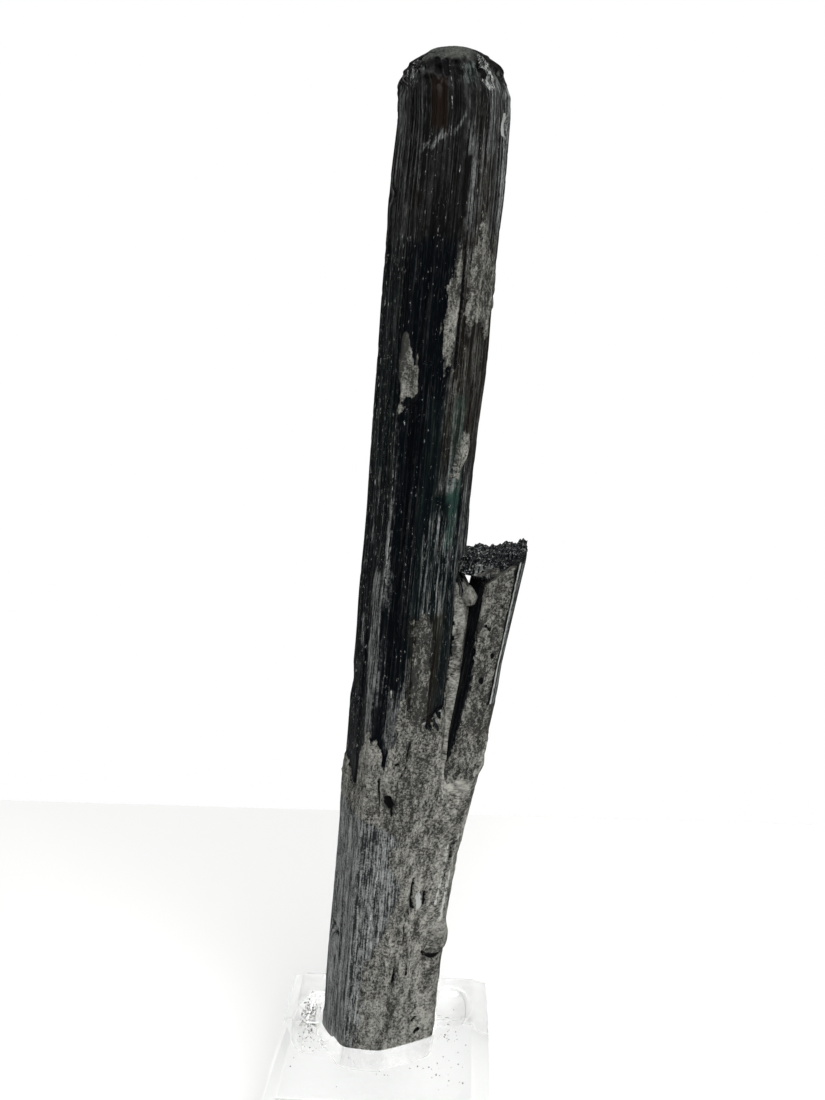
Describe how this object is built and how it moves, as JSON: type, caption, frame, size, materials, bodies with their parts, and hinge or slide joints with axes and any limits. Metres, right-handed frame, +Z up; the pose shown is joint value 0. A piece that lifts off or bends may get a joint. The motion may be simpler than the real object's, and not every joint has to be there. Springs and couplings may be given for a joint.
{
  "type": "tourmaline-like striated crystal cluster on a clear block",
  "caption": "Tall dark striated crystal with a smaller one on its flank, patchy beige crust, foot set in a clear bevelled block.",
  "frame": {"origin": "centre of the clear block's underside", "axes": "+Z up along the crystal, +X towards the smaller crystal, -Y towards the viewer"},
  "size_m": [0.0426, 0.038, 0.187],
  "materials": {
    "crystal_stone": "dark glassy striated crystal with a matt grey-beige crust",
    "clear_acrylic": "clear polished acrylic"
  },
  "bodies": {
    "root": {"crystal_cluster": "crystal_stone", "clear_block": "clear_acrylic"}
  },
  "joints": []
}
